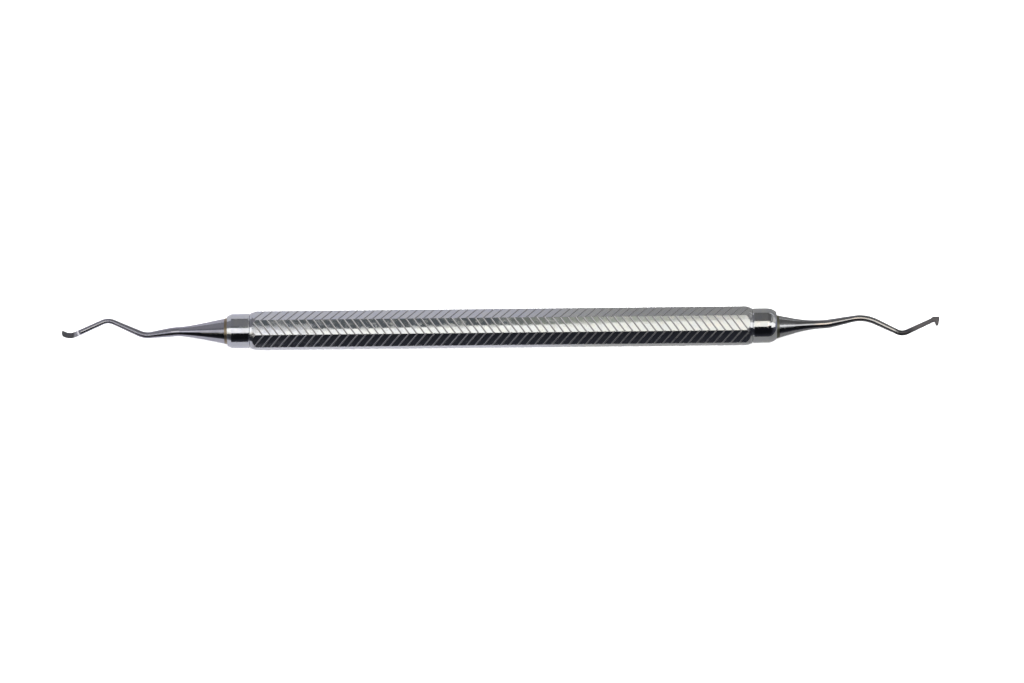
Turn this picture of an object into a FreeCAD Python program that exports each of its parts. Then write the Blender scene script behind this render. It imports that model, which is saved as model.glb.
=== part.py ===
import FreeCAD, Part

import math
import os

from FreeCAD import Vector

# Double-ended dental scaler, lying on one flat of its handle. Lengths are in millimetres, angles in degrees.
# Frame: +X runs along the handle towards the hoe end, +Y is across it, +Z is up, and the origin is under the
# middle of the handle, on the surface that it lies on.

# Handle: an eight-sided steel bar
HANDLE_SIDES = 8
HANDLE_FLATS = 7.0  # across two opposite flats
HANDLE_LENGTH = 95.2  # of the eight-sided stretch, between the two turned collars
SHOULDER_DIAMETER = 6.66  # of the turned chamfer at each end of the flats, where it is smallest
SHOULDER_ANGLE = 21.0  # of that chamfer, from the handle's axis

# Turned collar on each end of the bar, with a thin relief against the flats. The outer edge is chamfered at
# the spoon end. At the hoe end it is crowned, and rounds off from the collar's side. Its length runs along
# the axis and its depth is in radius.
COLLAR_DIAMETER = 6.54
SPOON_COLLAR_LENGTH = 4.35
SPOON_CHAMFER_LENGTH = 0.8
SPOON_CHAMFER_DEPTH = 0.38
HOE_COLLAR_LENGTH = 4.65
HOE_CROWN_LENGTH = 1.7
HOE_CROWN_DEPTH = 0.7
RELIEF_WIDTH = 0.3
RELIEF_DEPTH = 0.15

# Grip: straight V grooves slanting across every flat, one way on even flats and the other way on odd ones
GROOVE_SLANT = 35.5  # away from square to the axis
GROOVE_WIDTH = 0.27
GROOVE_DEPTH = 0.07
GROOVE_END_MARGIN = 1.0  # from the last groove's middle to the end of the flat, at least
EVEN_FLAT_PITCH = 1.46
EVEN_FLAT_FIRST_GROOVE = 1.4  # from the spoon end of the flat to the middle of its first groove
ODD_FLAT_PITCH = 1.615
ODD_FLAT_FIRST_GROOVE = 1.7

# Brazed joint: a round tang in a drilled socket, and a ring of filler round the root of the shank
SOCKET_DIAMETER = 3.0
SOCKET_DEPTH = 9.5
DRILL_POINT_ANGLE = 118.0
BRAZE_GAP = 0.03  # between tang and socket wall
TANG_END_GAP = 0.5  # from the tang's end to the socket's full depth
BRAZE_THICKNESS = 0.3  # in radius, where the ring of filler ends on the shank
SPOON_BRAZE_LENGTH = 0.55
SPOON_BRAZE_DIAMETER = 5.08  # of the filler, where it meets the collar
HOE_BRAZE_LENGTH = 0.5
HOE_BRAZE_DIAMETER = 4.5

# Shanks: a turned cone, a hollow sweep from it down to the rod, then round rod with bends. A route gives the
# corners from the collar's face outwards, as (reach along the axis, side along Y, bend radius, rod diameter
# through the bend).
SPOON_CONE_DIAMETER = 4.8  # where the ring of filler ends on the shank
SPOON_CONE_LENGTH = 5.0  # from the collar's face
SPOON_CONE_END_DIAMETER = 3.0
SPOON_ROUTE = [
    (0.0, 0.0, 0.0, 0.0),
    (9.9, 0.0, 12.0, 1.78),
    (15.7, -0.74, 3.8, 1.22),
    (22.68, 2.43, 2.6, 0.98),
    (29.85, -0.8, 2.6, 1.06),
    (32.0, 0.16, 0.0, 1.06),
]
HOE_CONE_DIAMETER = 4.2
HOE_CONE_LENGTH = 3.4
HOE_CONE_END_DIAMETER = 2.84
HOE_ROUTE = [
    (0.0, -0.27, 0.0, 0.0),
    (9.7, 0.15, 10.0, 1.62),
    (16.78, 1.53, 7.0, 1.2),
    (23.82, -1.95, 2.1, 1.0),
    (30.2, 0.94, 0.0, 0.84),
]

# Spoon blade: the end of the shank, with a toe rounded in plan and a flat ground on top
SPOON_TOE_REACH = 31.52
SPOON_TOE_RADIUS = 1.0
SPOON_FACE_HEIGHT = 0.08  # above the middle of the shank
SPOON_FACE_START = 28.7  # reach at which the flat begins
SPOON_HEEL_RADIUS = 1.07  # of the hollow run-out from the shank down to the flat

# Hoe blade: a tooth across the end of the shank, whose last run is ground flat above and below
HOE_FLAT_THICKNESS = 0.62
HOE_FLAT_START = 26.4
HOE_FLAT_RUNOUT_RADIUS = 6.0
HOE_HEAD_WIDTH = 1.0  # of the cutting edge, along Z
HOE_EDGE_CORNER = 0.16  # corner taken off each end of the cutting edge
# Outline of the head seen from above, as (reach, side); the cutting edge is at its lowest side
HOE_HEAD_OUTLINE = [
    (29.2, 0.91),
    (29.71, 1.31),
    (30.9, 1.31),
    (30.96, 0.74),
    (30.73, -0.25),
    (30.5, -0.44),
    (30.28, -0.21),
    (30.03, 0.35),
    (29.4, 0.32),
]

CLEAR = 5.0  # how far a cutting shape reaches past what it cuts
OVERLAP = 1.0  # how far a turned outline starts inside what it is joined to or cut from

AXIS_HEIGHT = HANDLE_FLATS / 2  # the handle lies on a flat
FLAT_WIDTH = HANDLE_FLATS * math.tan(math.pi / HANDLE_SIDES)
CORNER_RADIUS = HANDLE_FLATS / 2 / math.cos(math.pi / HANDLE_SIDES)
HALF_LENGTH = HANDLE_LENGTH / 2
ORIGIN = Vector(0, 0, 0)
X_AXIS = Vector(1, 0, 0)
Y_AXIS = Vector(0, 1, 0)
Z_AXIS = Vector(0, 0, 1)


def filled(points):
    """Flat face inside a closed outline of points."""
    return Part.Face(Part.makePolygon(points + points[:1]))


def turned(profile):
    """Solid of revolution about the X axis, from a closed outline of (x, radius) points."""
    return filled([Vector(x, r, 0) for x, r in profile]).revolve(ORIGIN, X_AXIS, 360)


def tangent_arc(start, ahead, end):
    """Arc from start to end that leaves start in a given direction."""
    chord = end - start
    normal = (chord - ahead * chord.dot(ahead)).normalize()
    radius = chord.dot(chord) / (2 * chord.dot(normal))
    centre = start + normal * radius
    middle = centre + ((start + end) * 0.5 - centre).normalize() * radius
    return Part.Arc(start, middle, end).toShape()


def eight_sided_bar():
    """The bar between the collars, with a turned chamfer at each end."""
    corners = []
    for side in range(HANDLE_SIDES):
        angle = (side + 0.5) * 2 * math.pi / HANDLE_SIDES
        corners.append(Vector(-HALF_LENGTH, CORNER_RADIUS * math.sin(angle), CORNER_RADIUS * math.cos(angle)))
    bar = filled(corners).extrude(X_AXIS * HANDLE_LENGTH)
    shoulder = SHOULDER_DIAMETER / 2
    wide = CORNER_RADIUS + CLEAR
    chamfer = (wide - shoulder) / math.tan(math.radians(SHOULDER_ANGLE))
    outline = [
        (-HALF_LENGTH, 0),
        (-HALF_LENGTH, shoulder),
        (-HALF_LENGTH + chamfer, wide),
        (HALF_LENGTH - chamfer, wide),
        (HALF_LENGTH, shoulder),
        (HALF_LENGTH, 0),
    ]
    return bar.common(turned(outline))


def collar(length, edge_length, edge_depth, way, crowned):
    """Turned collar, thinner where it meets the flats; way is +1 or -1 along X."""
    radius = COLLAR_DIAMETER / 2
    root = HALF_LENGTH - OVERLAP
    relief_end = HALF_LENGTH + RELIEF_WIDTH
    edge_start = HALF_LENGTH + length - edge_length
    face = HALF_LENGTH + length

    def at(x, r):
        return Vector(way * x, r, 0)

    if crowned:
        edge = tangent_arc(at(edge_start, radius), X_AXIS * way, at(face, radius - edge_depth))
    else:
        edge = Part.makeLine(at(edge_start, radius), at(face, radius - edge_depth))
    corners = [
        at(face, radius - edge_depth),
        at(face, 0),
        at(root, 0),
        at(root, radius - RELIEF_DEPTH),
        at(HALF_LENGTH, radius - RELIEF_DEPTH),
        at(relief_end, radius),
        at(edge_start, radius),
    ]
    outline = Part.Wire([edge] + Part.makePolygon(corners).Edges)
    return Part.Face(outline).revolve(ORIGIN, X_AXIS, 360)


def socket(collar_length, way):
    """Drilled hole for a tang, with its drill point, as the shape to be cut away."""
    radius = SOCKET_DIAMETER / 2
    mouth = HALF_LENGTH + collar_length
    bottom = mouth - SOCKET_DEPTH
    point = bottom - radius / math.tan(math.radians(DRILL_POINT_ANGLE / 2))
    outline = [(point, 0), (bottom, radius), (mouth + CLEAR, radius), (mouth + CLEAR, 0)]
    return turned([(way * x, r) for x, r in outline])


def groove_cutter(x, slant):
    """One V groove across the top flat, its middle at x, as the shape to be cut away."""
    tip = Vector(0, 0, HANDLE_FLATS / 2 - GROOVE_DEPTH)
    top = tip.z + 2 * GROOVE_DEPTH
    run = FLAT_WIDTH / math.cos(math.radians(slant)) + 2 * GROOVE_WIDTH
    sides = [tip, Vector(-GROOVE_WIDTH, 0, top), Vector(GROOVE_WIDTH, 0, top)]
    cutter = filled(sides).extrude(Y_AXIS * run)
    cutter.translate(Y_AXIS * (-run / 2))
    cutter.rotate(ORIGIN, Z_AXIS, slant)
    cutter.translate(X_AXIS * x)
    return cutter


def flat_grooves(first, pitch, slant):
    """All the grooves of the top flat."""
    count = int((HANDLE_LENGTH - first - GROOVE_END_MARGIN) / pitch) + 1
    return [groove_cutter(-HALF_LENGTH + first + n * pitch, slant) for n in range(count)]


def grip_cutters():
    """The grooves of every flat: the two kinds of the top flat, turned round the handle in alternation."""
    kinds = [
        flat_grooves(EVEN_FLAT_FIRST_GROOVE, EVEN_FLAT_PITCH, GROOVE_SLANT),
        flat_grooves(ODD_FLAT_FIRST_GROOVE, ODD_FLAT_PITCH, -GROOVE_SLANT),
    ]
    cutters = []
    for side in range(HANDLE_SIDES):
        for cutter in kinds[side % 2]:
            moved = cutter.copy()
            moved.rotate(ORIGIN, X_AXIS, side * 360 / HANDLE_SIDES)
            cutters.append(moved)
    return cutters


def make_handle():
    grooved = eight_sided_bar().cut(grip_cutters())
    collars = [
        collar(SPOON_COLLAR_LENGTH, SPOON_CHAMFER_LENGTH, SPOON_CHAMFER_DEPTH, -1, False),
        collar(HOE_COLLAR_LENGTH, HOE_CROWN_LENGTH, HOE_CROWN_DEPTH, 1, True),
    ]
    sockets = [socket(SPOON_COLLAR_LENGTH, -1), socket(HOE_COLLAR_LENGTH, 1)]
    return grooved.fuse(collars).cut(sockets).removeSplitter()


def along(shape, start, ahead):
    """Turn a shape made along +X from the origin, and move it to a start point."""
    shape.rotate(ORIGIN, Z_AXIS, math.degrees(math.atan2(ahead.y, ahead.x)))
    shape.translate(start)
    return shape


def beyond_collar(shape):
    """What lies past the collar's face, which is at x = 0 while a working end is made."""
    room = 20 * CLEAR
    return shape.common(Part.makeBox(room, room, room, Vector(0, -room / 2, -room / 2)))


def route_points(route):
    return [Vector(reach, side, 0) for reach, side, _, _ in route]


def bend(corner, before, after, radius, diameter):
    """Round rod bent through a corner of the route: the solid, and where it starts and ends."""
    half_turn = before.getAngle(after) / 2
    trim = radius * math.tan(half_turn)
    start = corner - before * trim
    centre = corner + (after - before).normalize() * (radius / math.cos(half_turn))
    section = Part.Face(Part.Wire(Part.makeCircle(diameter / 2, start, before)))
    solid = section.revolve(centre, before.cross(after), math.degrees(2 * half_turn))
    return solid, start, corner + after * trim


def straight_run(start, end, first_diameter, last_diameter):
    """Round rod from start to end, tapered where its ends differ."""
    run = end - start
    if math.isclose(first_diameter, last_diameter):
        return Part.makeCylinder(first_diameter / 2, run.Length, start, run)
    return Part.makeCone(first_diameter / 2, last_diameter / 2, run.Length, start, run)


def turned_root(braze_length, cone, start, end, end_diameter):
    """Root of a shank up to the first bend: a neck for the ring of filler, the cone, and the hollow sweep."""
    cone_diameter, cone_length, cone_end_diameter = cone
    run = end - start
    neck = cone_diameter / 2 - BRAZE_THICKNESS
    cone_start = Vector(braze_length, cone_diameter / 2, 0)
    cone_end = Vector(cone_length, cone_end_diameter / 2, 0)
    rod_start = Vector(run.Length, end_diameter / 2, 0)
    sweep = tangent_arc(cone_end, (cone_end - cone_start).normalize(), rod_start)
    corners = [
        rod_start,
        Vector(run.Length, 0, 0),
        Vector(-OVERLAP, 0, 0),
        Vector(-OVERLAP, neck, 0),
        Vector(braze_length, neck, 0),
        cone_start,
        cone_end,
    ]
    outline = Part.Wire([sweep] + Part.makePolygon(corners).Edges)
    return beyond_collar(along(Part.Face(outline).revolve(ORIGIN, X_AXIS, 360), start, run))


def braze_ring(braze_length, diameter, cone, route):
    """Filler round the neck of a shank, between the collar's face and the cone."""
    start, end = route_points(route)[:2]
    outer = cone[0] / 2
    neck = outer - BRAZE_THICKNESS
    wide = diameter / 2 + OVERLAP * (diameter / 2 - outer) / braze_length
    outline = [(-OVERLAP, neck), (braze_length, neck), (braze_length, outer), (-OVERLAP, wide)]
    return beyond_collar(along(turned(outline), start, end - start))


def bent_shank(braze_length, cone, route):
    """Turned root, straight runs and bends, as one solid on a tang that fits the socket."""
    points = route_points(route)
    ways = [(b - a).normalize() for a, b in zip(points, points[1:])]
    tang_length = SOCKET_DEPTH - TANG_END_GAP
    tang = Part.makeCylinder(SOCKET_DIAMETER / 2 - BRAZE_GAP, tang_length, Vector(-tang_length, 0, 0), X_AXIS)
    pieces = []
    leave, previous_diameter = points[0], None
    for n in range(1, len(points) - 1):
        _, _, radius, diameter = route[n]
        solid, enter, next_leave = bend(points[n], ways[n - 1], ways[n], radius, diameter)
        if previous_diameter is None:
            pieces.append(turned_root(braze_length, cone, leave, enter, diameter))
        else:
            pieces.append(straight_run(leave, enter, previous_diameter, diameter))
        pieces.append(solid)
        leave, previous_diameter = next_leave, diameter
    pieces.append(straight_run(leave, points[-1], previous_diameter, route[-1][3]))
    return tang.fuse(pieces)


def ground_away(start, run, height, runout_radius):
    """What a grinding wheel takes off above a height, from a start point onwards along a run."""
    wide = CLEAR
    flat = Part.makeBox(2 * wide, 2 * wide, wide, Vector(0, -wide, height))
    wheel = Part.makeCylinder(runout_radius, 2 * wide, Vector(0, -wide, height + runout_radius), Y_AXIS)
    return along(flat.fuse(wheel), start, run)


def run_point(route, number, reach):
    """A straight run of a route, by number, and the point on its line at a reach."""
    a, b = route_points(route)[number : number + 2]
    return a + (b - a) * ((reach - a.x) / (b.x - a.x)), b - a


def make_spoon_end(cone):
    shank = bent_shank(SPOON_BRAZE_LENGTH, cone, SPOON_ROUTE)
    toe_side = run_point(SPOON_ROUTE, len(SPOON_ROUTE) - 2, SPOON_TOE_REACH)[0].y
    toe_centre = Vector(SPOON_TOE_REACH - SPOON_TOE_RADIUS, toe_side, -CLEAR)
    past_toe = Part.makeBox(CLEAR, 2 * CLEAR, 2 * CLEAR, toe_centre - Y_AXIS * CLEAR)
    toe = Part.makeCylinder(SPOON_TOE_RADIUS, 2 * CLEAR, toe_centre)
    start, run = run_point(SPOON_ROUTE, len(SPOON_ROUTE) - 3, SPOON_FACE_START)
    ground = ground_away(start, run, SPOON_FACE_HEIGHT, SPOON_HEEL_RADIUS)
    return shank.cut([past_toe.cut(toe), ground])


def hoe_head():
    """The tooth: its outline from above, met by its outline from the front."""
    half = HOE_HEAD_WIDTH / 2
    low = min(side for _, side in HOE_HEAD_OUTLINE)
    high = max(side for _, side in HOE_HEAD_OUTLINE)
    narrow = half - HOE_EDGE_CORNER
    outline = [Vector(reach, side, -half) for reach, side in HOE_HEAD_OUTLINE]
    plan = filled(outline).extrude(Z_AXIS * HOE_HEAD_WIDTH)
    front = [
        (high, -half),
        (high, half),
        (low + HOE_EDGE_CORNER, half),
        (low, narrow),
        (low, -narrow),
        (low + HOE_EDGE_CORNER, -half),
    ]
    block = filled([Vector(0, y, z) for y, z in front]).extrude(X_AXIS * 10 * CLEAR)
    return plan.common(block)


def make_hoe_end(cone):
    shank = bent_shank(HOE_BRAZE_LENGTH, cone, HOE_ROUTE)
    start, run = run_point(HOE_ROUTE, len(HOE_ROUTE) - 2, HOE_FLAT_START)
    above = ground_away(start, run, HOE_FLAT_THICKNESS / 2, HOE_FLAT_RUNOUT_RADIUS)
    below = above.mirror(ORIGIN, Z_AXIS)
    return shank.cut([above, below]).fuse(hoe_head()).removeSplitter()


def placed(shape, collar_length, way):
    """Put a shape made from the collar's face outwards onto its end of the handle."""
    if way < 0:
        shape = shape.mirror(ORIGIN, X_AXIS)
    shape.translate(Vector(way * (HALF_LENGTH + collar_length), 0, AXIS_HEIGHT))
    return shape


def make_parts():
    handle = make_handle()
    handle.translate(Z_AXIS * AXIS_HEIGHT)
    spoon_cone = (SPOON_CONE_DIAMETER, SPOON_CONE_LENGTH, SPOON_CONE_END_DIAMETER)
    hoe_cone = (HOE_CONE_DIAMETER, HOE_CONE_LENGTH, HOE_CONE_END_DIAMETER)
    spoon_ring = braze_ring(SPOON_BRAZE_LENGTH, SPOON_BRAZE_DIAMETER, spoon_cone, SPOON_ROUTE)
    hoe_ring = braze_ring(HOE_BRAZE_LENGTH, HOE_BRAZE_DIAMETER, hoe_cone, HOE_ROUTE)
    return {
        "handle": handle,
        "spoon_end": placed(make_spoon_end(spoon_cone), SPOON_COLLAR_LENGTH, -1),
        "hoe_end": placed(make_hoe_end(hoe_cone), HOE_COLLAR_LENGTH, 1),
        "spoon_end_braze": placed(spoon_ring, SPOON_COLLAR_LENGTH, -1),
        "hoe_end_braze": placed(hoe_ring, HOE_COLLAR_LENGTH, 1),
    }


os.makedirs("parts", exist_ok=True)
for name, shape in make_parts().items():
    if len(shape.Solids) != 1:
        raise ValueError(name + " is not one solid")
    shape.Solids[0].exportStep("parts/" + name + ".step")
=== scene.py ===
import math
from collections import namedtuple

import bpy
from mathutils import Matrix, Vector

# Looks of a double-ended dental scaler: polished steel, with a ring of brazing filler at each collar.
# Lengths are in metres and angles in degrees. X runs along the handle, and the camera looks down on it.

MM = 0.001

# The photograph's frame, and where the middle of the handle lies in it
PHOTO_WIDTH = 1024  # pixels
PHOTO_HEIGHT = 683
PIXELS_PER_MM = 5.268
HANDLE_PIXEL_X = 501.2
HANDLE_PIXEL_Y = 328.2

CAMERA_ELEVATION = 80.5
CAMERA_ROLL = 0.6  # the hoe end lies higher in the frame
CAMERA_DISTANCE = 1.0
SENSOR_WIDTH = 36.0  # mm

# Handle, as the part's source has it
AXIS_HEIGHT = 3.5 * MM
HALF_GRIP = 47.6 * MM  # from the middle to where a collar begins
SHOULDER = 0.9 * MM  # over which a flat rounds down to its collar
SIDES = 8

# Noise of a surface. A stretch below 1 along an axis draws it out that way.
Texture = namedtuple("Texture", "scale detail roughness stretch", defaults=(0.5, (1.0, 1.0, 1.0)))

# Handle's finish: crowned, lightly scuffed flats and rougher grooves, whose colour is painted darker as
# shade. The darker colour of a pair comes first.
FLAT_STEEL = ((0.445, 0.455, 0.48, 1.0), (0.48, 0.483, 0.472, 1.0))
FLAT_STAINS = Texture(700.0, 4.0, 0.6)
FLAT_STAIN_RANGE = (0.35, 0.65)  # of the noise, over which the colour changes
CROWN_RADIUS = 27.7 * MM  # of each flat, which polishing has left a little crowned
WAVES = Texture(350.0, 2.0, stretch=(0.35, 1.0, 1.0))
WAVE_HEIGHT = 0.004 * MM
POLISHING_GRAIN = Texture(9000.0, 2.0, stretch=(0.25, 1.0, 1.0))
POLISHING_GRAIN_HEIGHT = 0.0002 * MM
SCUFFS = Texture(1100.0, 4.0, 0.65, (0.6, 1.0, 1.0))
SCUFF_RANGE = (0.46, 0.68)
FLAT_ROUGHNESS = (0.045, 0.2)  # where polished and where scuffed
MOST_WORN = (-36.0 * MM, -28.0 * MM)  # the grip is scuffed most on the spoon end's side of this stretch
MORE_SCUFFS = 0.07  # added to the noise there
# painted shade: the grooves' colour is darker than the flats' to stand in for the shade in them
GROOVE_PAINTED_SHADE = (0.361, 0.355, 0.361, 1.0)
GROOVE_ROUGHNESS = 0.33
FLAT_FACING = 0.985  # how squarely a surface faces away from the handle, on a flat and on a groove's wall
WALL_FACING = 0.93
EDGE_RADIUS = 0.05 * MM  # of worn edges
EDGE_SAMPLES = 6

# Shanks' finish: polished roots, satin rods and blades rough from grinding, whose colour is painted dark as
# shade. Distances are from the middle of the handle.
SPOON_STEEL = ((0.32, 0.315, 0.335, 1.0), (0.38, 0.375, 0.4, 1.0))
HOE_STEEL = ((0.32, 0.32, 0.33, 1.0), (0.4, 0.4, 0.41, 1.0))
# painted shade: the blades' colour is far darker than steel, standing in for the dark reflection on them
BLADE_PAINTED_SHADE = ((0.067, 0.067, 0.074, 1.0), (0.1, 0.1, 0.11, 1.0))
SHANK_STAINS = Texture(300.0, 5.0, 0.6)
ROOT_FINISH = Texture(1200.0, 2.0)
ROOT_FINISH_RANGE = (0.3, 0.7)
ROOT_ROUGHNESS = (0.11, 0.16)
TURNING_MARKS = Texture(8000.0, 2.0, stretch=(1.0, 0.3, 0.3))
TURNING_MARK_HEIGHT = 0.00015 * MM
ROD = (58.0 * MM, 64.0 * MM)  # over which a root turns into its rod
SPOON_SATIN = 0.08  # how much rougher each rod is than its root
HOE_SATIN = 0.03
SPOON_BLADE = (80.9 * MM, 81.2 * MM)  # over which a rod turns into its blade
HOE_BLADE = (74.4 * MM, 75.6 * MM)
GROUND_ROUGHNESS = 0.15  # how much rougher each blade is than its rod

# Brazing filler. The hoe end's ring is a darker copy, painted as shade in the nook by its collar; its grey
# tone is the filler's own.
BROWN_FILLER = ((0.13, 0.1, 0.07, 1.0), (0.34, 0.28, 0.19, 1.0))
# painted shade: a darker copy of the filler for the ring in the nook by the hoe end's collar
GREY_FILLER_IN_PAINTED_SHADE = ((0.08, 0.08, 0.08, 1.0), (0.2, 0.2, 0.13, 1.0))
FILLER_TINT = Texture(900.0, 4.0)
FILLER_TINT_RANGE = (0.3, 0.7)
FILLER_ROUGHNESS = (0.3, 0.45)
FILLER_LUMPS = Texture(2500.0, 3.0)
LUMP_HEIGHT = 0.01 * MM

# Studio: panels that the steel reflects. Each light is a list of (x, level, tint), from left to right.
# Angles are from straight up as seen from the handle, positive to the rear.
HALF_ROOM = 2.5
UNDER_FLOOR = -0.2 * MM  # where the floor's glow lies, which only the steel sees
COOL = (0.955, 0.955, 1.06)
LILAC = (1.0, 0.98, 1.08)
SLATE = (0.9, 1.0, 1.07)
NEUTRAL = (1.0, 1.0, 1.0)
IVORY = (1.0, 1.0, 0.95)
CREAM = (1.0, 1.0, 0.92)
TAN = (1.0, 0.96, 0.88)
GREENISH = (0.98, 1.04, 0.9)
PEACH = (1.0, 0.82, 0.66)
FLOOR_LIGHT = [
    (-0.06, 0.94, COOL),
    (0.0, 0.85, COOL),
    (0.008, 0.74, COOL),
    (0.016, 0.62, NEUTRAL),
    (0.025, 0.52, NEUTRAL),
    (0.05, 0.47, NEUTRAL),
    (0.1, 0.3, NEUTRAL),
    (0.2, 0.6, NEUTRAL),
    (0.6, 0.9, NEUTRAL),
]
REAR_LIGHT = [
    (-0.12, 0.95, COOL),
    (0.0, 0.85, COOL),
    (0.05, 0.5, NEUTRAL),
    (0.25, 0.25, NEUTRAL),
    (0.45, 0.4, NEUTRAL),
    (0.9, 0.9, NEUTRAL),
]
GREY_LIGHT = [
    (-0.65, 0.34, COOL),
    (-0.45, 0.48, COOL),
    (-0.2, 0.48, COOL),
    (-0.12, 0.32, COOL),
    (0.1, 0.22, NEUTRAL),
    (0.2, 0.16, NEUTRAL),
    (0.45, 0.18, NEUTRAL),
    (0.56, 0.2, NEUTRAL),
    (0.6, 0.8, NEUTRAL),
    (0.68, 0.5, NEUTRAL),
    (0.76, 0.3, NEUTRAL),
    (0.86, 0.4, NEUTRAL),
    (0.95, 0.9, NEUTRAL),
]
GAP_LIGHT = [
    (-0.6, 0.26, COOL),
    (-0.15, 0.2, SLATE),
    (-0.004, 0.18, SLATE),
    (0.022, 0.5, GREENISH),
    (0.045, 0.74, GREENISH),
    (0.075, 1.0, CREAM),
    (0.1, 1.1, CREAM),
    (0.4, 1.4, CREAM),
    (0.48, 0.25, NEUTRAL),
]
OVERHEAD_LIGHT = [
    (-0.62, 2.15, NEUTRAL),
    (-0.52, 0.85, COOL),
    (-0.48, 0.95, COOL),
    (-0.45, 1.6, COOL),
    (-0.3, 1.6, COOL),
    (-0.24, 0.8, COOL),
    (-0.18, 0.8, COOL),
    (-0.14, 1.9, LILAC),
    (-0.1, 1.95, LILAC),
    (-0.08, 2.0, IVORY),
    (0.0, 2.0, IVORY),
    (0.04, 1.85, CREAM),
    (0.1, 1.8, CREAM),
    (0.13, 3.4, PEACH),
    (0.17, 3.4, PEACH),
    (0.25, 2.0, NEUTRAL),
]
FRONT_LEFT_LIGHT = [(-1.6, 1.25, TAN), (-1.0, 1.25, TAN), (-0.88, 2.2, TAN), (-0.6, 2.2, TAN)]
REAR_RIGHT_LIGHT = [(0.65, 1.2, TAN), (0.7, 1.3, TAN), (0.8, 2.4, TAN), (1.7, 2.4, TAN)]
OVERHEAD_HEIGHT = 0.9
# Edges of the overhead panel, as (x, angle). The upper flat reflects the rear one as a wavy line.
OVERHEAD_REAR_EDGE = [
    (-2.5, 17.0),
    (-0.7, 17.0),
    (-0.6, 4.0),
    (-0.2, 4.0),
    (-0.1, 10.6),
    (-0.091, 10.8),
    (-0.086, 9.5),
    (-0.073, 7.4),
    (-0.059, 7.8),
    (-0.044, 8.2),
    (-0.022, 8.8),
    (-0.008, 9.5),
    (0.016, 9.5),
    (0.04, 11.0),
    (0.072, 11.5),
    (0.09, 12.5),
    (0.093, 20.0),
    (0.105, 20.0),
    (0.2, 10.0),
    (0.65, 10.0),
    (0.75, 17.0),
    (2.5, 17.0),
]
OVERHEAD_FRONT_EDGE = [
    (-2.5, -24.0),
    (-0.1, -24.0),
    (0.03, -21.0),
    (0.1, -17.0),
    (0.25, -11.0),
    (0.6, -11.0),
    (0.68, -26.0),
    (2.5, -26.0),
]
# The other panels, by their angles and distance, and by their two ends where they are narrower than the room
REAR_SWEEP_ANGLE = 80.0  # where it ends; it starts on the floor
REAR_GREY_ANGLES = (77.0, 20.0)
REAR_GREY_DISTANCE = 1.0
REAR_GAP_ANGLES = (20.5, 2.0)
REAR_GAP_DISTANCE = 1.05
FRONT_LEFT = (-1.6, -0.6)
FRONT_LEFT_ANGLES = (-19.0, -36.0)
REAR_RIGHT = (0.65, 1.7)
REAR_RIGHT_ANGLES = (62.0, 38.0)
REAR_RIGHT_DISTANCE = 0.95

# Paper and lamp, which the steel doesn't see
HALF_FLOOR = 2.0
PAPER = (0.9, 0.9, 0.9, 1.0)
PAPER_ROUGHNESS = 0.9
LAMP_PLACE = (-0.1, 0.0, 1.2)
LAMP_SIDE = 1.4
LAMP_WATTS = 60.0

# Room beyond the panels, as the steel sees it: dark, and lighter low down and behind to the sides.
# Heights and reaches are parts of the direction, from 0 to 1.
ROOM_TINT = (0.88, 0.93, 1.2, 1.0)
FRONT_HEIGHTS = (0.1, 0.45)
FRONT_LEVELS = (0.045, 0.01)
SIDE_REACH = (0.45, 0.8)
SIDE_LEVEL = 0.4
REAR_REACH = (-0.5, 0.1)
REAR_SHARES = (0.1, 1.0)


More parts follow.
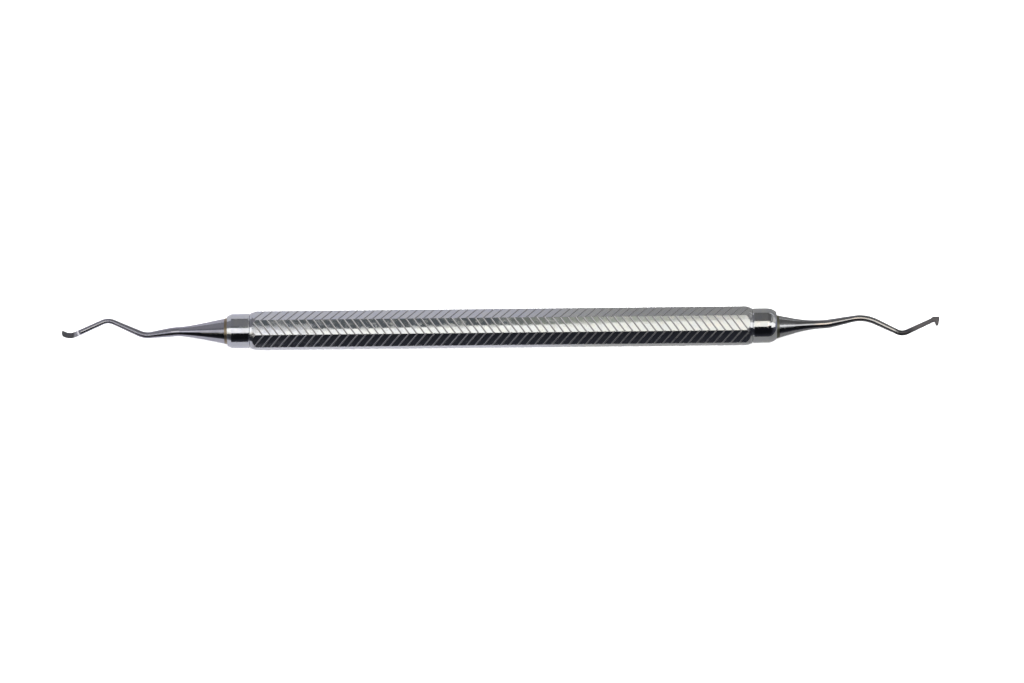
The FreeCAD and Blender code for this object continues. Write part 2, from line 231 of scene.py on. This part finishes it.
class Nodes:
    """Short forms for building one material's or world's node tree."""

    def __init__(self, owner):
        owner.use_nodes = True
        self.tree = owner.node_tree
        self.tree.nodes.clear()

    def add(self, kind, **values):
        node = self.tree.nodes.new(kind)
        for name, value in values.items():
            setattr(node, name, value)
        return node

    def link(self, source, target):
        self.tree.links.new(source, target)

    def feed(self, socket, value):
        if isinstance(value, bpy.types.NodeSocket):
            self.link(value, socket)
        else:
            socket.default_value = value

    def math(self, operation, first, second=0.0):
        node = self.add("ShaderNodeMath", operation=operation)
        for socket, value in zip(node.inputs, (first, second)):
            self.feed(socket, value)
        return node.outputs[0]

    def object_place(self):
        """Place in the part's own frame, as a vector and as x, y, z."""
        place = self.add("ShaderNodeTexCoord").outputs["Object"]
        split = self.add("ShaderNodeSeparateXYZ")
        self.link(place, split.inputs[0])
        return place, split.outputs

    def sky_direction(self):
        """Direction of the sky, as x, y, z."""
        split = self.add("ShaderNodeSeparateXYZ")
        self.link(self.add("ShaderNodeTexCoord").outputs["Generated"], split.inputs[0])
        return split.outputs

    def noise(self, place, texture):
        stretched = self.add("ShaderNodeMapping")
        self.link(place, stretched.inputs["Vector"])
        stretched.inputs["Scale"].default_value = texture.stretch
        node = self.add("ShaderNodeTexNoise")
        self.link(stretched.outputs[0], node.inputs["Vector"])
        node.inputs["Scale"].default_value = texture.scale
        node.inputs["Detail"].default_value = texture.detail
        node.inputs["Roughness"].default_value = texture.roughness
        return node.outputs["Fac"]

    def remap(self, value, low, high, new_low, new_high, smooth=False):
        node = self.add("ShaderNodeMapRange")
        node.interpolation_type = "SMOOTHSTEP" if smooth else "LINEAR"
        for socket, number in zip(node.inputs, (value, low, high, new_low, new_high)):
            self.feed(socket, number)
        return node.outputs[0]

    def blend(self, amount, first, second):
        node = self.add("ShaderNodeMix", data_type="RGBA")
        self.feed(node.inputs["Factor"], amount)
        self.feed(node.inputs["A"], first)
        self.feed(node.inputs["B"], second)
        return node.outputs["Result"]

    def worn_edges(self):
        """Normal that rounds every edge a little."""
        node = self.add("ShaderNodeBevel", samples=EDGE_SAMPLES)
        node.inputs["Radius"].default_value = EDGE_RADIUS
        return node.outputs[0]

    def bump(self, height, distance=1.0, normal=None):
        """Normal bent by a height, which is in metres or, with a distance, a share of it."""
        node = self.add("ShaderNodeBump")
        self.feed(node.inputs["Height"], height)
        node.inputs["Distance"].default_value = distance
        node.inputs["Strength"].default_value = 1.0
        if normal is not None:
            self.link(normal, node.inputs["Normal"])
        return node.outputs[0]

    def metal(self, colour, roughness, normal):
        shader = self.add("ShaderNodeBsdfPrincipled")
        shader.inputs["Metallic"].default_value = 1.0
        self.feed(shader.inputs["Base Color"], colour)
        self.feed(shader.inputs["Roughness"], roughness)
        self.link(normal, shader.inputs["Normal"])
        self.show(shader, "ShaderNodeOutputMaterial")

    def show(self, shader, output_kind):
        self.link(shader.outputs[0], self.add(output_kind).inputs["Surface"])


def new_material(name):
    material = bpy.data.materials.new(name)
    return material, Nodes(material)


def round_handle(nodes, y, z):
    """Angle round the handle, and the angle from the middle of the flat that lies there."""
    angle = nodes.math("ARCTAN2", y, nodes.math("SUBTRACT", z, AXIS_HEIGHT))
    step = 2 * math.pi / SIDES
    turned = nodes.math("ADD", angle, step / 2 + 2 * math.pi)
    within = nodes.math("SUBTRACT", nodes.math("MODULO", turned, step), step / 2)
    return angle, within


def on_flats(nodes, x):
    """1 along the flats, fading out over their shoulders."""
    return nodes.remap(nodes.math("ABSOLUTE", x), HALF_GRIP - SHOULDER, HALF_GRIP, 1.0, 0.0, smooth=True)


def flat_crown(nodes, within):
    """Height of a flat's crown, highest along its middle."""
    off_middle = nodes.math("MULTIPLY", nodes.math("TANGENT", within), AXIS_HEIGHT)
    return nodes.math("DIVIDE", nodes.math("MULTIPLY", off_middle, off_middle), -2 * CROWN_RADIUS)


def in_grooves(nodes, angle, within):
    """1 on the walls of the grooves, which lean away from the flat, and 0 on the flat itself."""
    middle = nodes.math("SUBTRACT", angle, within)
    split = nodes.add("ShaderNodeSeparateXYZ")
    nodes.link(nodes.add("ShaderNodeTexCoord").outputs["Normal"], split.inputs[0])
    _, side, up = split.outputs
    level = nodes.math("MULTIPLY", up, nodes.math("COSINE", middle))
    level = nodes.math("ADD", level, nodes.math("MULTIPLY", side, nodes.math("SINE", middle)))
    return nodes.remap(level, FLAT_FACING, WALL_FACING, 0.0, 1.0)


def handle_steel():
    """Polished bar: crowned and lightly scuffed flats, and grooves that the polishing didn't reach, rougher
    and painted darker as shade.
    """
    material, nodes = new_material("polished_handle")
    place, (x, y, z) = nodes.object_place()
    angle, within = round_handle(nodes, y, z)
    flats = on_flats(nodes, x)
    crown = nodes.math("MULTIPLY", flat_crown(nodes, within), flats)
    grooves = nodes.math("MULTIPLY", in_grooves(nodes, angle, within), flats)
    wave = nodes.noise(place, WAVES)
    height = nodes.math("ADD", crown, nodes.math("MULTIPLY", wave, WAVE_HEIGHT))
    grain = nodes.noise(place, POLISHING_GRAIN)
    height = nodes.math("ADD", height, nodes.math("MULTIPLY", grain, POLISHING_GRAIN_HEIGHT))
    stain = nodes.remap(nodes.noise(place, FLAT_STAINS), *FLAT_STAIN_RANGE, 0.0, 1.0)
    # painted shade: the grooves get a darker colour than the flats
    colour = nodes.blend(grooves, nodes.blend(stain, *FLAT_STEEL), GROOVE_PAINTED_SHADE)
    worn = nodes.remap(x, *MOST_WORN, MORE_SCUFFS, 0.0, smooth=True)
    scuffs = nodes.math("ADD", nodes.noise(place, SCUFFS), worn)
    roughness = nodes.remap(scuffs, *SCUFF_RANGE, *FLAT_ROUGHNESS)
    roughness = nodes.math("MAXIMUM", roughness, nodes.math("MULTIPLY", grooves, GROOVE_ROUGHNESS))
    nodes.metal(colour, roughness, nodes.bump(height, normal=nodes.worn_edges()))
    return material


def shank_steel(name, dark, bright, blade, rod_satin):
    """Turned shank with fine marks round it: a polished root, a satin rod and a blade rough from grinding,
    painted dark as shade.
    """
    material, nodes = new_material(name)
    place, (x, _, _) = nodes.object_place()
    from_middle = nodes.math("ABSOLUTE", x)
    satin = nodes.remap(from_middle, *ROD, 0.0, 1.0, smooth=True)
    grinding_and_painted_shade = nodes.remap(from_middle, *blade, 0.0, 1.0, smooth=True)
    stain = nodes.noise(place, SHANK_STAINS)
    polished = nodes.blend(stain, dark, bright)
    blade_painted_shade = nodes.blend(stain, *BLADE_PAINTED_SHADE)
    # painted shade: the blade's colour turns far darker than the rod's
    colour = nodes.blend(grinding_and_painted_shade, polished, blade_painted_shade)
    finish = nodes.noise(place, ROOT_FINISH)
    roughness = nodes.remap(finish, *ROOT_FINISH_RANGE, *ROOT_ROUGHNESS)
    roughness = nodes.math("ADD", roughness, nodes.math("MULTIPLY", satin, rod_satin))
    roughness = nodes.math("ADD", roughness, nodes.math("MULTIPLY", grinding_and_painted_shade, GROUND_ROUGHNESS))
    marks = nodes.noise(place, TURNING_MARKS)
    nodes.metal(colour, roughness, nodes.bump(marks, TURNING_MARK_HEIGHT, nodes.worn_edges()))
    return material


def brazing_filler(name, dark, bright):
    """Brazing filler, uneven in colour from heat."""
    material, nodes = new_material(name)
    place, _ = nodes.object_place()
    tint = nodes.noise(place, FILLER_TINT)
    colour = nodes.blend(tint, dark, bright)
    lumps = nodes.noise(place, FILLER_LUMPS)
    roughness = nodes.remap(tint, *FILLER_TINT_RANGE, *FILLER_ROUGHNESS)
    nodes.metal(colour, roughness, nodes.bump(lumps, LUMP_HEIGHT))
    return material


def dress(frame):
    materials = {
        "handle": handle_steel(),
        "spoon_end": shank_steel("polished_spoon_end", *SPOON_STEEL, SPOON_BLADE, SPOON_SATIN),
        "hoe_end": shank_steel("polished_hoe_end", *HOE_STEEL, HOE_BLADE, HOE_SATIN),
        "spoon_end_braze": brazing_filler("brown_filler", *BROWN_FILLER),
        # painted shade: the hoe end's filler takes the darker, greyer copy
        "hoe_end_braze": brazing_filler("grey_filler_in_painted_shade", *GREY_FILLER_IN_PAINTED_SHADE),
    }
    for name, node in frame["nodes"].items():
        node.data.materials.clear()
        node.data.materials.append(materials[name])


def plane(name, corners):
    mesh = bpy.data.meshes.new(name)
    mesh.from_pydata(corners, [], [tuple(range(len(corners)))])
    thing = bpy.data.objects.new(name, mesh)
    bpy.context.scene.collection.objects.link(thing)
    return thing


def glowing(name, light):
    """Emission whose level and tint change from left to right, as a list of (x, level, tint)."""
    material, nodes = new_material(name)
    _, (x, _, _) = nodes.object_place()
    first, last = light[0][0], light[-1][0]
    along = nodes.remap(x, first, last, 0.0, 1.0)
    ramp = nodes.add("ShaderNodeValToRGB")
    nodes.link(along, ramp.inputs["Fac"])
    stops = ramp.color_ramp.elements
    while len(stops) < len(light):
        stops.new(0.5)
    for stop, (place, level, tint) in zip(stops, light):
        stop.position = (place - first) / (last - first)
        stop.color = (*[level * c for c in tint], 1.0)
    shader = nodes.add("ShaderNodeEmission")
    nodes.link(ramp.outputs["Color"], shader.inputs["Color"])
    nodes.show(shader, "ShaderNodeOutputMaterial")
    return material


def card(name, corners, light):
    """Soft panel that only the steel sees."""
    thing = plane(name, corners)
    thing.data.materials.append(glowing(name, light))
    thing.visible_camera = False
    thing.visible_diffuse = False
    thing.visible_shadow = False


def across(near, far, left=-HALF_ROOM, right=HALF_ROOM):
    """Corners of a panel between two edges' (y, z), as wide as the room unless said otherwise."""
    return [(left, *near), (right, *near), (right, *far), (left, *far)]


def toward(angle, distance):
    """(y, z) of a point seen from the handle at an angle from straight up, positive to the rear."""
    turn = math.radians(angle)
    return distance * math.sin(turn), AXIS_HEIGHT + distance * math.cos(turn)


def between(angles, distance, left=-HALF_ROOM, right=HALF_ROOM):
    """Corners of a panel between two angles, at a distance from the handle."""
    near, far = (toward(angle, distance) for angle in angles)
    return across(near, far, left, right)


def overhead_point(x, angle):
    """Point on the overhead panel's level, at an angle as seen from the handle."""
    height = OVERHEAD_HEIGHT - AXIS_HEIGHT
    return x, height * math.tan(math.radians(angle)), OVERHEAD_HEIGHT


def make_floor():
    floor = plane("floor", across((-HALF_FLOOR, 0.0), (HALF_FLOOR, 0.0), -HALF_FLOOR, HALF_FLOOR))
    material, nodes = new_material("floor_paper")
    shader = nodes.add("ShaderNodeBsdfPrincipled")
    shader.inputs["Base Color"].default_value = PAPER
    shader.inputs["Roughness"].default_value = PAPER_ROUGHNESS
    shader.inputs["Specular IOR Level"].default_value = 0.0
    nodes.show(shader, "ShaderNodeOutputMaterial")
    floor.data.materials.append(material)
    floor.visible_glossy = False


def make_panels():
    card("floor_glow", across((-HALF_ROOM, UNDER_FLOOR), (HALF_ROOM, UNDER_FLOOR)), FLOOR_LIGHT)
    card("rear_sweep", across((HALF_ROOM, 0.0), toward(REAR_SWEEP_ANGLE, HALF_ROOM)), REAR_LIGHT)
    card("rear_grey", between(REAR_GREY_ANGLES, REAR_GREY_DISTANCE), GREY_LIGHT)
    card("rear_gap", between(REAR_GAP_ANGLES, REAR_GAP_DISTANCE), GAP_LIGHT)
    edge = OVERHEAD_FRONT_EDGE + OVERHEAD_REAR_EDGE[::-1]
    card("overhead", [overhead_point(x, angle) for x, angle in edge], OVERHEAD_LIGHT)
    near, far = (overhead_point(0.0, angle)[1:] for angle in FRONT_LEFT_ANGLES)
    card("front_left", across(near, far, *FRONT_LEFT), FRONT_LEFT_LIGHT)
    card("rear_right", between(REAR_RIGHT_ANGLES, REAR_RIGHT_DISTANCE, *REAR_RIGHT), REAR_RIGHT_LIGHT)


def make_lamp():
    """Soft light on the paper from overhead."""
    data = bpy.data.lights.new("overhead_soft", "AREA")
    data.shape = "SQUARE"
    data.size = LAMP_SIDE
    data.energy = LAMP_WATTS
    lamp = bpy.data.objects.new("overhead_soft", data)
    lamp.location = LAMP_PLACE
    lamp.visible_glossy = False
    lamp.visible_camera = False
    bpy.context.scene.collection.objects.link(lamp)


def make_world():
    """White to the camera, and the dark room to the steel."""
    world = bpy.data.worlds.new("studio")
    bpy.context.scene.world = world
    nodes = Nodes(world)
    path = nodes.add("ShaderNodeLightPath")
    seen = nodes.add("ShaderNodeBackground")
    seen.inputs["Color"].default_value = (1.0, 1.0, 1.0, 1.0)
    seen.inputs["Strength"].default_value = 1.0
    x, y, z = nodes.sky_direction()
    front = nodes.remap(z, *FRONT_HEIGHTS, *FRONT_LEVELS)
    side = nodes.remap(nodes.math("ABSOLUTE", x), *SIDE_REACH, 0.0, SIDE_LEVEL, smooth=True)
    rear = nodes.remap(y, *REAR_REACH, *REAR_SHARES, smooth=True)
    dark = nodes.add("ShaderNodeBackground")
    dark.inputs["Color"].default_value = ROOM_TINT
    nodes.link(nodes.math("ADD", front, nodes.math("MULTIPLY", side, rear)), dark.inputs["Strength"])
    mix = nodes.add("ShaderNodeMixShader")
    nodes.link(path.outputs["Is Camera Ray"], mix.inputs["Fac"])
    nodes.link(dark.outputs[0], mix.inputs[1])
    nodes.link(seen.outputs[0], mix.inputs[2])
    nodes.show(mix, "ShaderNodeOutputWorld")


def make_camera():
    data = bpy.data.cameras.new("camera")
    data.sensor_width = SENSOR_WIDTH
    data.lens = PIXELS_PER_MM / MM * CAMERA_DISTANCE * SENSOR_WIDTH / PHOTO_WIDTH
    tilt = math.radians(CAMERA_ELEVATION)
    roll = math.radians(CAMERA_ROLL)
    back = Vector((0.0, -math.cos(tilt), math.sin(tilt)))
    level_up = Vector((0.0, math.sin(tilt), math.cos(tilt)))
    level_right = Vector((1.0, 0.0, 0.0))
    right = level_right * math.cos(roll) - level_up * math.sin(roll)
    up = level_right * math.sin(roll) + level_up * math.cos(roll)
    off_right = (HANDLE_PIXEL_X - PHOTO_WIDTH / 2) / PIXELS_PER_MM * MM
    off_up = (PHOTO_HEIGHT / 2 - HANDLE_PIXEL_Y) / PIXELS_PER_MM * MM
    place = Vector((0.0, 0.0, AXIS_HEIGHT)) + back * CAMERA_DISTANCE - right * off_right - up * off_up
    camera = bpy.data.objects.new("camera", data)
    camera.matrix_world = Matrix.Translation(place) @ Matrix((right, up, back)).transposed().to_4x4()
    bpy.context.scene.collection.objects.link(camera)
    bpy.context.scene.camera = camera


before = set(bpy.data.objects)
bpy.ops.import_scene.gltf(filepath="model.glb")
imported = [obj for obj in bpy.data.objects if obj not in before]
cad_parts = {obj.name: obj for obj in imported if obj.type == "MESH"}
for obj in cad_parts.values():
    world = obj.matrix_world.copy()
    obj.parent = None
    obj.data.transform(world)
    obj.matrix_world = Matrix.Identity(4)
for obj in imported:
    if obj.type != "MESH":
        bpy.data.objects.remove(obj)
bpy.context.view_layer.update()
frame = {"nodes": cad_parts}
make_camera()
make_world()
make_floor()
make_panels()
make_lamp()
dress(frame)
bpy.context.scene.view_settings.view_transform = "Standard"
